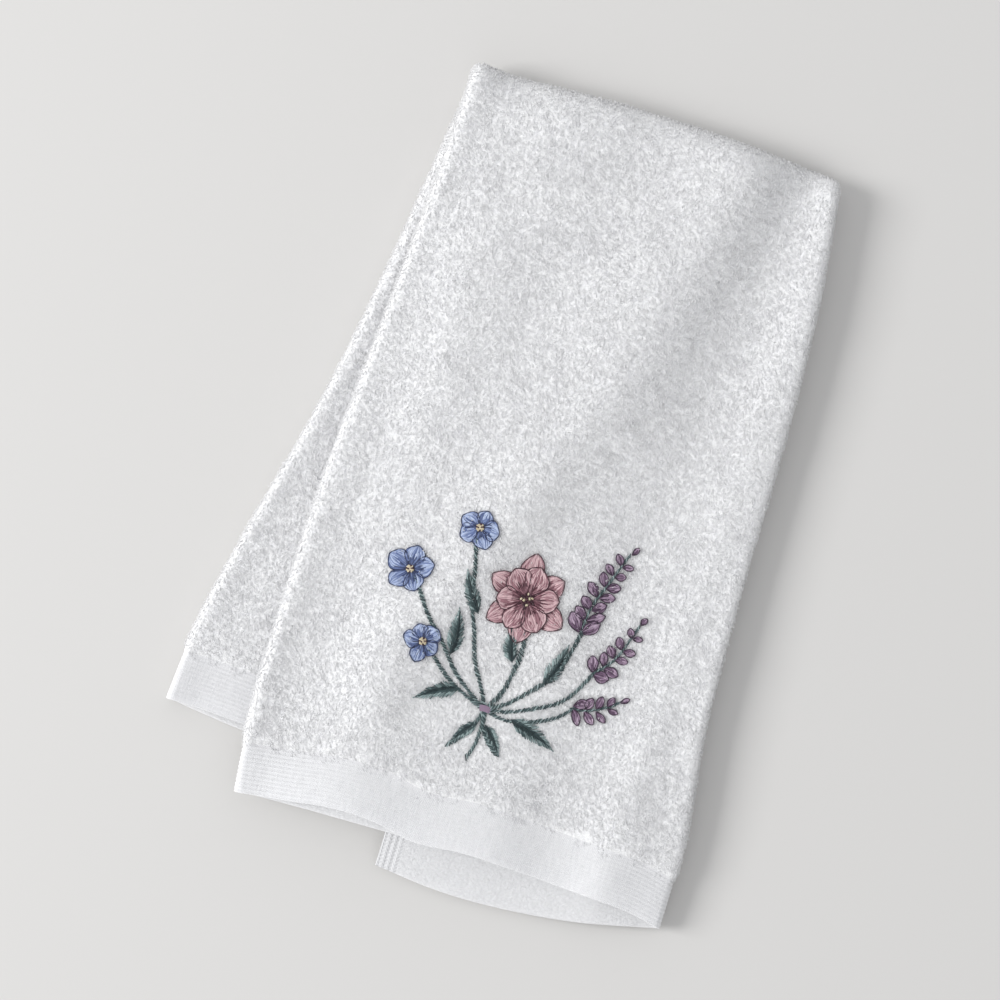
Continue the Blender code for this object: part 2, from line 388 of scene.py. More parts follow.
def clothGrid():
    columns = clothColumns()
    fold = crossFold(columns)
    zone = cloth["bandDepth"] + grid["hemZone"]
    hem = hemDistances(zone)
    legSteps = round((cloth["length"] / 2 - zone) / grid["legStep"])
    share = np.concatenate([np.ones(len(hem) - 1), np.linspace(1, 0, legSteps + 1)])
    fromHem = np.concatenate([hem[:-1], np.full(legSteps + 1, zone)])
    turns = np.linspace(math.pi / 2, -math.pi / 2, grid["crossFoldSteps"] + 1)[1:-1]
    points = np.concatenate([
        legPoints(columns, fold, "front", share, fromHem),
        foldPoints(columns, fold, turns),
        legPoints(columns, fold, "back", share[::-1], fromHem[::-1]),
    ])
    flat = np.full(len(turns), zone)
    made = {
        "columns": columns,
        "points": points,
        "fromHem": np.concatenate([fromHem, flat, fromHem[::-1]]),
        "leg": np.array(["front"] * len(share) + ["fold"] * len(turns) + ["back"] * len(share)),
    }
    # the CAD's box gives the row frame's origin
    half = cloth["thickness"] / 2
    made["shift"] = np.array([
        cadBox[1][0] - (points[:, :, 0].max() + half),
        cadBox[0][1] - points[:, :, 1].min(),
        0,
    ])
    made["points"] = points + made["shift"]
    along = np.gradient(points, axis=1)
    up = np.gradient(points, axis=0)
    made["normals"] = unit(np.cross(along, up))
    return made


def pileShare(made):
    # 1 where the right side of the cloth is piled and shows, 0 on the hems and where it is folded away
    columns, leg = made["columns"], made["leg"][:, None]
    across, down = made["points"][:, :, 0] - made["shift"][0], made["shift"][1] - made["points"][:, :, 1]
    strip, turn = columns["strip"], columns["turn"]
    onPanel = strip == "panel"
    turned = turn > shown["firstTurn"]
    frontLeft, frontRight = foldLines("front", down)
    nearFold = np.minimum(np.abs(across - frontLeft), np.abs(across - frontRight)) < shown["pastFold"]
    front = onPanel | turned | nearFold
    backRight = foldLines("back", down)[1]
    backWedge = (strip == "leftFlap") & (across < frontLeft + shown["pastLeg"])
    backNear = np.abs(across - backRight) < shown["pastFold"]
    back = np.where(turned, turn < shown["lastTurn"], backWedge | backNear)
    shows = np.where(leg == "back", back, np.where(leg == "front", front, onPanel | turned))
    return (shows & (columns["fromEdge"] > 0.98 * cloth["sideHemDepth"])).astype(float)


def napShare(made):
    # how thickly the loops stand: only a few at a low share, and all of them at the highest, 1.5
    fromBand = made["fromHem"][:, None] - cloth["bandDepth"] + 0 * made["points"][:, :, 0]
    return np.clip((fromBand - cloth["napStart"]) / cloth["napReach"], 0, 1.5)


def halfThicknesses(made, pile):
    # of the right side and the wrong side, from the middle of the cloth
    fromHem = made["fromHem"][:, None] + 0 * pile
    fromEdge = made["columns"]["fromEdge"] + 0 * pile
    inBand = ease((cloth["bandDepth"] + cloth["hemSlope"] / 2 - fromHem) / cloth["hemSlope"])
    inSideHem = ease((cloth["sideHemDepth"] - fromEdge) / cloth["sideHemSlope"])
    bandWave = np.cos(2 * math.pi * cloth["bandRibs"] * fromHem / cloth["bandDepth"])
    sideWave = np.cos(2 * math.pi * cloth["sideHemRibs"] * fromEdge / cloth["sideHemDepth"])
    across = made["points"][:, :, 0] - made["shift"][0]
    strength = ribsFlat + sum(share * bump(across - middle, half) for share, middle, half in ribsPulled)
    band = cloth["bandHalf"] + cloth["bandRibHeight"] * bandWave * strength
    sideHem = cloth["sideHemHalf"] + cloth["sideHemRibHeight"] * sideWave
    raised = pile * ease((fromHem - cloth["bandDepth"]) / cloth["hemSlope"])
    right = cloth["plainHalf"] + (cloth["groundHalf"] - cloth["plainHalf"]) * raised
    wrong = cloth["plainHalf"]
    right = right + (band - right) * inBand
    wrong = wrong + (cloth["bandHalf"] - wrong) * inBand
    right = right + (sideHem - right) * inSideHem
    wrong = wrong + (sideHem - wrong) * inSideHem
    right = right - cloth["seamDip"] * bump(fromEdge - cloth["sideHemDepth"], cloth["seamWidth"])
    edge = np.clip(np.minimum(fromHem, fromEdge) / cloth["bandHalf"], 0, 1)
    rounded = np.sqrt(1 - (1 - edge) ** 2)
    return right * rounded, wrong * rounded


def gridQuads(index):
    # corner indices of the quads of a grid of vertex numbers
    return np.stack([index[:-1, :-1], index[:-1, 1:], index[1:, 1:], index[1:, :-1]], axis=2).reshape(-1, 4)


def meshObject(name, points, faces, edges=()):
    mesh = bpy.data.meshes.new(name)
    mesh.from_pydata(np.asarray(points).tolist(), list(edges), np.asarray(faces).tolist())
    piece = bpy.data.objects.new(name, mesh)
    bpy.context.scene.collection.objects.link(piece)
    return piece


def storeValues(mesh, name, kind, domain, values, field="value"):
    attribute = mesh.attributes.new(name, kind, domain)
    attribute.data.foreach_set(field, np.ascontiguousarray(values).ravel())


def makeCloth(made, pile, materials):
    right, wrong = halfThicknesses(made, pile)
    points, normals = made["points"], made["normals"]
    rows, columns = pile.shape
    upper = np.arange(rows * columns).reshape(rows, columns)
    lower = upper.copy()
    inner = (rows - 2) * (columns - 2)
    lower[1:-1, 1:-1] = rows * columns + np.arange(inner).reshape(rows - 2, columns - 2)
    rightSide = points + normals * right[:, :, None]
    wrongSide = points - normals * wrong[:, :, None]
    vertices = np.concatenate([rightSide.reshape(-1, 3), wrongSide[1:-1, 1:-1].reshape(-1, 3)])
    vertices[:, 2] = np.maximum(vertices[:, 2], 0)
    faces = np.concatenate([gridQuads(upper), gridQuads(lower)[:, ::-1]])
    piece = meshObject("towelCloth", vertices, faces)
    mesh = piece.data
    mesh.shade_smooth()
    for material in materials:
        mesh.materials.append(material)

    # woven along the cloth's own width and length, in metres
    wide = np.cumsum(np.append(0, np.linalg.norm(np.diff(points[rows // 4], axis=0), axis=1)))
    long = np.cumsum(np.append(0, np.linalg.norm(np.diff(points[:, columns // 2], axis=0), axis=1)))
    flat = np.stack(np.broadcast_arrays(wide[None, :], long[:, None]), axis=2)
    weave = np.concatenate([flat.reshape(-1, 2), flat[1:-1, 1:-1].reshape(-1, 2)])
    layer = mesh.uv_layers.new(name="weave")
    layer.data.foreach_set("uv", weave[faces.ravel()].astype(np.float32).ravel())

    # ground, band, side hem and the band's inside are the materials 0 to 3
    inBand = made["fromHem"][:-1, None] + made["fromHem"][1:, None] < 2 * cloth["bandDepth"]
    fromEdge = made["columns"]["fromEdge"]
    inSideHem = fromEdge[:-1] + fromEdge[1:] < 2 * cloth["sideHemDepth"] - 0.0001
    slots = [np.where(inSideHem, 2, np.where(inBand, slot, 0)).ravel() for slot in (1, 3)]
    mesh.polygons.foreach_set("material_index", np.concatenate(slots).astype(np.int32))
    return piece, rightSide


def nodeTree(name, inputs):
    # a Geometry Nodes tree with named inputs: (name, socket type, default)
    tree = bpy.data.node_groups.new(name, "GeometryNodeTree")
    tree.interface.new_socket("Geometry", in_out="INPUT", socket_type="NodeSocketGeometry")
    for label, kind, default in inputs:
        socket = tree.interface.new_socket(label, in_out="INPUT", socket_type=kind)
        if default is not None:
            socket.default_value = default
    tree.interface.new_socket("Geometry", in_out="OUTPUT", socket_type="NodeSocketGeometry")
    return tree, tree.nodes.new("NodeGroupInput"), tree.nodes.new("NodeGroupOutput")


def socketOf(sockets, key):
    # by its place, its identifier or its name
    if isinstance(key, int):
        return sockets[key]
    return next((socket for socket in sockets if socket.identifier == key), None) or sockets[key]


def addNode(tree, kind, inputs=None, **settings):
    # values given as sockets are linked, and others are set
    node = tree.nodes.new(kind)
    for key, value in settings.items():
        setattr(node, key, value)
    for key, value in (inputs or {}).items():
        socket = socketOf(node.inputs, key)
        if isinstance(value, bpy.types.NodeSocket):
            tree.links.new(value, socket)
        else:
            socket.default_value = value
    return node


def calculate(tree, operation, a, b=0.0):
    return addNode(tree, "ShaderNodeMath", {0: a, 1: b}, operation=operation).outputs[0]


def noise(tree, place, scale, detail):
    node = addNode(tree, "ShaderNodeTexNoise", {"Vector": place, "Scale": scale, "Detail": detail})
    return node.outputs["Fac"]


def scaledBy(tree, vector, factor):
    node = addNode(tree, "ShaderNodeVectorMath", {0: vector, "Scale": factor}, operation="SCALE")
    return node.outputs["Vector"]


def stored(tree, name, kind="FLOAT"):
    node = addNode(tree, "GeometryNodeInputNamedAttribute", {"Name": name}, data_type=kind)
    return node.outputs["Attribute"]


def randomValue(tree, low, high, seed):
    node = addNode(tree, "FunctionNodeRandomValue", {"Min_001": low, "Max_001": high, "Seed": seed})
    return socketOf(node.outputs, "Value_001")


def baked(owner, tree, values, name, materials):
    # evaluates the tree on the owner's mesh and returns the result as a plain mesh object
    modifier = owner.modifiers.new("nodes", "NODES")
    modifier.node_group = tree
    for item in tree.interface.items_tree:
        if item.in_out == "INPUT" and item.name in values:
            modifier[item.identifier] = values[item.name]
    bpy.context.view_layer.update()
    evaluated = owner.evaluated_get(bpy.context.evaluated_depsgraph_get())
    mesh = bpy.data.meshes.new_from_object(evaluated)
    owner.modifiers.remove(modifier)
    mesh.name = name
    piece = bpy.data.objects.new(name, mesh)
    bpy.context.scene.collection.objects.link(piece)
    mesh.materials.clear()
    for material in materials:
        mesh.materials.append(material)
    return piece


def newMaterial(name, color, roughness, sheen):
    material = bpy.data.materials.new(name)
    material.use_nodes = True
    tree = material.node_tree
    shader = tree.nodes["Principled BSDF"]
    shader.inputs["Base Color"].default_value = (*color, 1)
    shader.inputs["Roughness"].default_value = roughness
    shader.inputs["Sheen Weight"].default_value = sheen
    shader.inputs["Sheen Roughness"].default_value = 0.6
    shader.inputs["Specular IOR Level"].default_value = 0.25
    return material, tree, shader


def tinted(tree, shader, share, dark, light):
    mix = addNode(tree, "ShaderNodeMix", {
        "Factor_Float": share,
        "A_Color": (*dark, 1),
        "B_Color": (*light, 1),
    }, data_type="RGBA")
    tree.links.new(socketOf(mix.outputs, "Result_Color"), shader.inputs["Base Color"])


def glowing(shader, reach):
    # light goes a little way into the yarn and comes out again
    shader.inputs["Subsurface Weight"].default_value = 1
    shader.inputs["Subsurface Radius"].default_value = (1, 1, 1)
    shader.inputs["Subsurface Scale"].default_value = reach


def bumped(tree, shader, height, distance, strength, normal=None):
    values = {"Height": height, "Distance": distance, "Strength": strength}
    if normal is not None:
        values["Normal"] = normal
    node = addNode(tree, "ShaderNodeBump", values)
    tree.links.new(node.outputs["Normal"], shader.inputs["Normal"])


def objectPlace(tree):
    return addNode(tree, "ShaderNodeTexCoord").outputs["Object"]


cotton = {
    "loopDark": (0.945, 0.937, 0.965),
    "loopLight": (0.98, 0.972, 0.995),
    # the dark ground colour is painted shade for the hollows between pressed loops
    "groundHollowShade": (0.90, 0.90, 0.92),
    "groundLight": (0.96, 0.96, 0.975),
    "bandDark": (0.67, 0.67, 0.68),
    "bandLight": (0.83, 0.83, 0.84),
    # the side hem's dark colour is painted shade for the grooves between its stitches
    "sideHemGrooveShade": (0.58, 0.58, 0.59),
    "sideHemLight": (0.78, 0.78, 0.79),
    # the dark inside colour is painted shade for the hollows between pressed loops
    "insideHollowShade": (0.70, 0.70, 0.71),
    "insideLight": (0.79, 0.79, 0.80),
    "threadPitch": 0.00055,  # of the plain weave
    "selvageRow": 0.0022,
    "selvageStitch": 0.0016,
    "loopSoftness": 0.3,
}


def loopMaterial():
    material, tree, shader = newMaterial("loopedCotton", cotton["loopLight"], 0.9, 0.8)
    place = objectPlace(tree)
    tone = addNode(tree, "ShaderNodeAttribute", attribute_name="loopTone").outputs["Fac"]
    tinted(tree, shader, tone, cotton["loopDark"], cotton["loopLight"])
    # a fibrous yarn has no hard shaded side, so it is shaded partly as the cloth that it stands on
    standing = addNode(tree, "ShaderNodeAttribute", attribute_name="clothNormal").outputs["Vector"]
    turned = addNode(tree, "ShaderNodeVectorTransform", {"Vector": standing}, vector_type="NORMAL")
    own = addNode(tree, "ShaderNodeNewGeometry").outputs["Normal"]
    soft = addNode(tree, "ShaderNodeMix", {
        "Factor_Float": cotton["loopSoftness"],
        "A_Vector": own,
        "B_Vector": turned.outputs["Vector"],
    }, data_type="VECTOR")
    mixed = socketOf(soft.outputs, "Result_Vector")
    normal = addNode(tree, "ShaderNodeVectorMath", {0: mixed}, operation="NORMALIZE").outputs["Vector"]
    fibers = noise(tree, place, scale=2600.0, detail=2.0)
    bumped(tree, shader, fibers, distance=0.0003, strength=0.5, normal=normal)
    glowing(shader, 0.0016)
    return material


def fuzzyMaterial(name, dark, light, relief):
    # pressed loops where no pile is modelled, and the inside of the turned hem, with painted shade in the
    # hollows between the loops
    material, tree, shader = newMaterial(name, light, 0.95, 0.2)
    place = objectPlace(tree)
    cells = addNode(tree, "ShaderNodeTexVoronoi", {"Vector": place, "Scale": 720.0, "Randomness": 0.9})
    fibers = noise(tree, place, scale=1900.0, detail=3.0)
    height = calculate(tree, "SUBTRACT", fibers, cells.outputs["Distance"])
    # the colour follows the relief's height, so the hollows get painted shade; the fibre noise adds random
    # tone
    tinted(tree, shader, calculate(tree, "ADD", height, 0.3), dark, light)
    bumped(tree, shader, height, distance=relief, strength=0.6)
    glowing(shader, 0.0022)
    return material


def sideHemMaterial():
    # rows of slanted stitches, leaning one way and the other by turns, with painted shade in the grooves
    # between them
    material, tree, shader = newMaterial("sewnSelvage", cotton["sideHemLight"], 0.85, 0.15)
    flat = addNode(tree, "ShaderNodeUVMap", uv_map="weave").outputs["UV"]
    parts = addNode(tree, "ShaderNodeSeparateXYZ", {"Vector": flat})
    row = calculate(tree, "PINGPONG", parts.outputs["X"], cotton["selvageRow"] / 2)
    slanted = calculate(tree, "ADD", parts.outputs["Y"], row)
    turns = calculate(tree, "MULTIPLY", slanted, 2 * math.pi / cotton["selvageStitch"])
    place = objectPlace(tree)
    stitch = calculate(tree, "MULTIPLY", calculate(tree, "SINE", turns), 0.2)
    height = calculate(tree, "ADD", stitch, noise(tree, place, scale=1500.0, detail=3.0))
    # the colour follows the stitches' height, so the grooves get painted shade
    tinted(tree, shader, height, cotton["sideHemGrooveShade"], cotton["sideHemLight"])
    bumped(tree, shader, height, distance=0.0003, strength=0.9)
    return material


def bandMaterial():
    # plain weave: warp over weft by turns, on the cloth's own width and length
    material, tree, shader = newMaterial("flatWeave", cotton["bandLight"], 0.85, 0.15)
    flat = addNode(tree, "ShaderNodeUVMap", uv_map="weave").outputs["UV"]
    parts = addNode(tree, "ShaderNodeSeparateXYZ", {"Vector": flat})
    rate = math.pi / cotton["threadPitch"]
    warp = calculate(tree, "SINE", calculate(tree, "MULTIPLY", parts.outputs["X"], rate))
    weft = calculate(tree, "SINE", calculate(tree, "MULTIPLY", parts.outputs["Y"], rate))
    over = calculate(tree, "MULTIPLY", warp, weft)
    # the warp yarns differ a little from one another all along the cloth
    drawn = addNode(tree, "ShaderNodeVectorMath", {0: flat, 1: (1.0, 0.16, 1.0)}, operation="MULTIPLY")
    yarns = noise(tree, drawn.outputs["Vector"], scale=900.0, detail=3.0)
    place = objectPlace(tree)
    fuzz = calculate(tree, "MULTIPLY", noise(tree, place, scale=1500.0, detail=3.0), 0.7)
    grain = calculate(tree, "ADD", yarns, fuzz)
    height = calculate(tree, "ADD", calculate(tree, "MULTIPLY", over, 0.3), grain)
    tinted(tree, shader, calculate(tree, "SUBTRACT", grain, 0.35), cotton["bandDark"], cotton["bandLight"])
    bumped(tree, shader, height, distance=0.00026, strength=0.9)
    glowing(shader, 0.0012)
    return material


def threadMaterial():
    material, tree, shader = newMaterial("embroideryThread", (0.3, 0.3, 0.5), 0.4, 0.05)
    shader.inputs["Specular IOR Level"].default_value = 0.35
    color = addNode(tree, "ShaderNodeAttribute", attribute_name="threadColor").outputs["Color"]
    place = objectPlace(tree)
    bumped(tree, shader, noise(tree, place, scale=5200.0, detail=2.0), distance=0.00008, strength=0.5)
    uneven = calculate(tree, "MULTIPLY", noise(tree, place, scale=900.0, detail=2.0), 0.5)
    brightness = calculate(tree, "ADD", uneven, 0.75)
    tree.links.new(scaledBy(tree, color, brightness), shader.inputs["Base Color"])
    return material


# The embroidered posy. Its stitches are lines of points in millimetres, to the right of and up from
# the posy's middle.

posy = {
    "across": 0.077,
    "down": 0.215,
    "threadRadius": 0.26,
    "outlineRadius": 0.21,
    "threadSpacing": 0.42,
    "stitchLength": 5.6,
    "rise": 0.00185,  # of the stitches over the middle of the cloth
    "arch": 0.00035,  # how far a stitch's middle stands over its ends
    "layerRise": 0.00022,  # of each layer of stitches over the last, in metres as rise and arch are
    "unevenRise": 0.00006,
    "backstitch": 2.3,
    "ribStitch": 3.0,
    "stemStep": 0.74,  # from one slanted stitch to the next
    "leafStep": 0.46,
    "budStem": 0.8,
    "budLean": 52,
    "knotRadius": 0.34,
    "knotLayer": 2.6,
    "knotSize": 0.45,
    "seed": 11,
}

# dark, middle and light shades of each thread
threads = {
    "blue": ((0.038, 0.056, 0.140), (0.160, 0.215, 0.410), (0.520, 0.600, 0.780)),
    "navy": ((0.014, 0.020, 0.055), (0.026, 0.036, 0.090), (0.050, 0.065, 0.140)),
    "pink": ((0.105, 0.036, 0.050), (0.345, 0.175, 0.205), (0.720, 0.520, 0.540)),
    "burgundy": ((0.030, 0.010, 0.016), (0.055, 0.017, 0.027), (0.110, 0.040, 0.055)),
    "mauve": ((0.060, 0.032, 0.062), (0.200, 0.125, 0.200), (0.520, 0.400, 0.510)),
    "plum": ((0.020, 0.011, 0.022), (0.036, 0.019, 0.040), (0.065, 0.036, 0.070)),
    "green": ((0.014, 0.028, 0.032), (0.060, 0.096, 0.100), (0.330, 0.420, 0.420)),
    "cream": ((0.500, 0.420, 0.280), (0.620, 0.540, 0.380), (0.740, 0.660, 0.500)),
}

dice = np.random.default_rng(posy["seed"])
stitches = []  # (points, thread name, shade from dark to light, radius, layer)


def addStitch(points, thread, shade, radius=None, layer=0):
    stitches.append((np.asarray(points, float), thread, shade, radius or posy["threadRadius"], layer))


def petalHalf(share, width, fullest):
    # half the width of a petal: fullest is where it is widest, from its foot to its tip
    power = math.log(0.5) / math.log(fullest)
    return width / 2 * np.sin(math.pi * np.clip(share, 0, 1) ** power) ** 0.85


def petalPoint(petal, share, side):
    # side runs from -1 to 1 across the petal
    angle = math.radians(petal["angle"])
    ahead = np.array([math.cos(angle), math.sin(angle)])
    aside = np.array([-ahead[1], ahead[0]])
    share = np.asarray(share, float)[..., None]
    bend = petal["bend"] * share**2
    half = petalHalf(share, petal["width"], petal["fullest"])
    reach = petal["foot"] + share * petal["length"]
    return np.array(petal["at"]) + ahead * reach + aside * (bend + np.asarray(side)[..., None] * half)


def fillPetal(petal, thread, layer=0):
    # long and short stitches from the foot to the tip, darker towards the foot
    count = max(3, round(petal["width"] / posy["threadSpacing"]))
    for i in range(count):
        side = (i + 0.5) / count * 2 - 1
        begin = 0.03 + 0.20 * (i % 2) * abs(side) + dice.uniform(0, 0.05)
        end = 1 - 0.02 - 0.05 * abs(side) - dice.uniform(0, 0.03)
        step = posy["stitchLength"] / petal["length"]
        first = begin + step * dice.uniform(0.5, 1.0)
        cuts = [begin, *np.arange(first, end - 0.25 * step, step), end]
        for low, high in zip(cuts, cuts[1:]):
            share = np.linspace(max(low - 0.03, begin), high, 4)
            middle = (low + high) / 2
            streak = 0.18 * math.sin(7 * side + petal["angle"]) * (1 - middle)
            shade = 0.98 * middle + streak + dice.uniform(-0.36, 0.36)
            addStitch(petalPoint(petal, share, np.full(4, side)), thread, shade, layer=layer)


def sewVeins(petal, thread, count, layer):
    # dark stitches that run out from the foot over the filling
    for i in range(count):
        side = (i + 0.5) / count * 1.7 - 0.85
        reach = dice.uniform(0.28, 0.72) * (1 - 0.4 * abs(side))
        share = np.linspace(0.02, reach, 4)
        addStitch(petalPoint(petal, share, np.full(4, side)), thread, dice.uniform(0.2, 1), 0.15, layer)


def sewPaintedGlints(petal, thread, count, layer):
    # short pale stitches scattered over the outer part, painted highlights that stand for glints on the
    # thread
    for _ in range(count):
        side, start = dice.uniform(-0.85, 0.85), dice.uniform(0.3, 0.8)
        share = np.linspace(start, min(start + 2.2 / petal["length"], 0.96), 3)
        addStitch(petalPoint(petal, share, np.full(3, side)), thread, dice.uniform(0.85, 1), 0.22, layer)


def outlinePetal(petal, thread, layer=0.8):
    # backstitches round the petal
    share = np.concatenate([np.linspace(0.08, 1, 60), np.linspace(1, 0.08, 60)])
    side = np.concatenate([np.full(60, -1.02), np.full(60, 1.02)])
    sewAlong(petalPoint(petal, share, side), thread, posy["backstitch"], posy["outlineRadius"], layer)


def distancesAlong(line):
    return np.append(0, np.cumsum(np.linalg.norm(np.diff(line, axis=0), axis=1)))


def pointAt(line, walked, at):
    return np.stack([np.interp(at, walked, line[:, k]) for k in (0, 1)], axis=-1)


def sewAlong(line, thread, length, radius, layer=0.0, shade=0.5, overlap=0.25):
    # stitches of even length along a line, each starting a little back along the last
    walked = distancesAlong(line)
    count = max(1, round(walked[-1] / length))
    for i in range(count):
        low = walked[-1] * max(0, (i - overlap) / count)
        at = np.linspace(low, walked[-1] * (i + 1) / count, 4)
        addStitch(pointAt(line, walked, at), thread, shade + dice.uniform(-0.3, 0.3), radius, layer)


def curve(start, pull, end, count=40):
    # a bend from start to end that leans towards pull
    t = np.linspace(0, 1, count)[:, None]
    return (1 - t) ** 2 * np.array(start) + 2 * t * (1 - t) * np.array(pull) + t**2 * np.array(end)


def sewStem(line, width):
    # short slanted stitches, one behind another, as in a twisted cord
    walked = distancesAlong(line)
    ahead = unit(np.gradient(line, axis=0))
    count = round(walked[-1] / posy["stemStep"])
    for i in range(count):
        at = walked[-1] * (i + 0.5) / count
        middle, forward = pointAt(line, walked, at), pointAt(ahead, walked, at)
        aside = np.array([-forward[1], forward[0]])
        middle = middle + aside * 0.35 * math.sin(at / 4 + line[0][0])
        half = aside * width / 2 * dice.uniform(0.7, 1.35) + forward * dice.uniform(0.7, 1.2)
        shade = (0.15, 0.55, 0.35, 0.9)[i % 4] + dice.uniform(-0.2, 0.2)
        addStitch([middle - half, middle, middle + half], "green", shade)


def sewLeaf(at, angle, length, width, bend):
    # slanted stitches from the midrib to both edges, darker at the midrib and on one half
    leaf = {"at": at, "angle": angle, "length": length, "width": width, "bend": bend}
    leaf.update(foot=0, fullest=0.42)
    count = round(length / posy["leafStep"])
    for side, tone in ((1, 0.62), (-1, 0.34)):
        for i in range(1, count):
            share = i / count
            rib = petalPoint(leaf, share, 0)
            edge = petalPoint(leaf, min(share + 0.18, 1.05), side * dice.uniform(0.75, 1.3))
            middle = rib + (edge - rib) * dice.uniform(0.4, 0.6)
            addStitch([rib, (rib + middle) / 2, middle], "green", tone - 0.28 + dice.uniform(-0.15, 0.15))
            start = rib + (middle - rib) * 0.8
            addStitch([start, (start + edge) / 2, edge], "green", tone + 0.22 + dice.uniform(-0.35, 0.35))
    rib = petalPoint(leaf, np.linspace(0, 0.97, 30), np.zeros(30))
    sewAlong(rib, "green", posy["ribStitch"], posy["outlineRadius"], 0.8, shade=0.0)


def sewKnot(at, thread, shade):
    # a knot is two short crossed stitches
    for angle in (dice.uniform(0, math.pi), dice.uniform(0, math.pi)):
        ahead = np.array([math.cos(angle), math.sin(angle)]) * posy["knotSize"]
        points = [at + share * ahead for share in (-1, -0.4, 0.4, 1)]
        addStitch(points, thread, shade, posy["knotRadius"], posy["knotLayer"])


def sewRays(at, inner, outer, count, thread, layer):
    # stitches out from a flower's middle, in the gaps between the feet of its petals
    for i in range(count):
        angle = 2 * math.pi * (i + dice.uniform(-0.3, 0.3)) / count
        ahead = np.array([math.cos(angle), math.sin(angle)])
        reach = np.linspace(inner, outer * dice.uniform(0.8, 1.1), 3)[:, None]
        addStitch(np.array(at) + ahead * reach, thread, dice.uniform(0, 1), 0.2, layer)


def sewPetals(flower, turn, petals, scale, thread, edging, layer):
    for i in range(petals):
        petal = {
            "at": flower["at"],
            "angle": flower["turn"] + turn + 360 * i / petals + dice.uniform(-7, 7),
            "length": flower["petal"] * scale * dice.uniform(0.86, 1.12),
            "width": flower["width"] * dice.uniform(0.84, 1.08),
            "bend": dice.uniform(-2.0, 2.0),
            "foot": flower["eye"] * 0.4,
            "fullest": flower["fullest"],
        }
        fillPetal(petal, thread, layer)
        sewVeins(petal, edging, flower["veins"], layer + 0.6)
        # pale stitches as painted highlights on the thread
        sewPaintedGlints(petal, thread, flower["lights"], layer + 0.7)
        outlinePetal(petal, edging, layer + 0.8)


def sewEye(at, radius, thread, dots):
    # rings of knots round the flower's middle
    for ring, count in ((0.0, 1), (0.5, 6), (1.0, 11)):
        for i in range(count):
            angle = 2 * math.pi * i / count + ring
            place = np.array(at) + radius * ring * np.array([math.cos(angle), math.sin(angle)])
            sewKnot(place, dots if (i + count) % 3 == 0 else thread, dice.uniform(0.1, 0.9))


def sewSpike(line, buds, size):
    # pairs of buds up the stem, smaller towards its tip, with one at the end
    sewStem(line, posy["budStem"])
    ahead = unit(np.gradient(line, axis=0))
    for i in range(buds):
        share = i / (buds - 1)
        row = round(share * (len(line) - 1))
        forward = math.degrees(math.atan2(ahead[row][1], ahead[row][0]))
        small = size * (1 - 0.45 * share)
        for lean in (posy["budLean"], -posy["budLean"]) if i < buds - 1 else (0,):
            bud = {
                "at": line[row],
                "angle": forward + lean + dice.uniform(-14, 14),
                "length": small * dice.uniform(1.5, 1.9),
                "width": small * dice.uniform(0.8, 1.1),
                "bend": dice.uniform(-0.8, 0.8),
                "foot": 0.3,
                "fullest": 0.55,
            }
            fillPetal(bud, "mauve")
            sewVeins(bud, "plum", 2, 0.5)
            # pale stitches as painted highlights on the thread
            sewPaintedGlints(bud, "mauve", 3, 0.6)
            outlinePetal(bud, "plum")


def sewTie(at):
    for i in range(6):
        height = at[1] + (i - 2.5) * 0.42
        ends = at[0] - 2.2 + dice.uniform(-0.3, 0.3), at[0] + 2.2 + dice.uniform(-0.3, 0.3)
        addStitch([(ends[0], height), (at[0], height + 0.3), (ends[1], height)], "mauve", 0.7, layer=1.5)


# the last count is of the pale stitches on each petal, painted as highlights on the thread
openBloom = {"petal": 15.5, "width": 10.4, "eye": 2.6, "fullest": 0.62, "veins": 10, "lights": 16}
smallBloom = {"eye": 1.0, "fullest": 0.58, "veins": 4, "lights": 9}
blooms = {
    "open": {**openBloom, "at": (6, 17), "turn": 12},
    "blueLeft": {**smallBloom, "at": (-42, 15), "turn": 20, "petal": 9.0, "width": 8.6},
    "blueLow": {**smallBloom, "at": (-29, -11), "turn": 50, "petal": 7.6, "width": 7.4},
    "blueHigh": {**smallBloom, "at": (-20, 39), "turn": 5, "petal": 8.0, "width": 7.6},
}


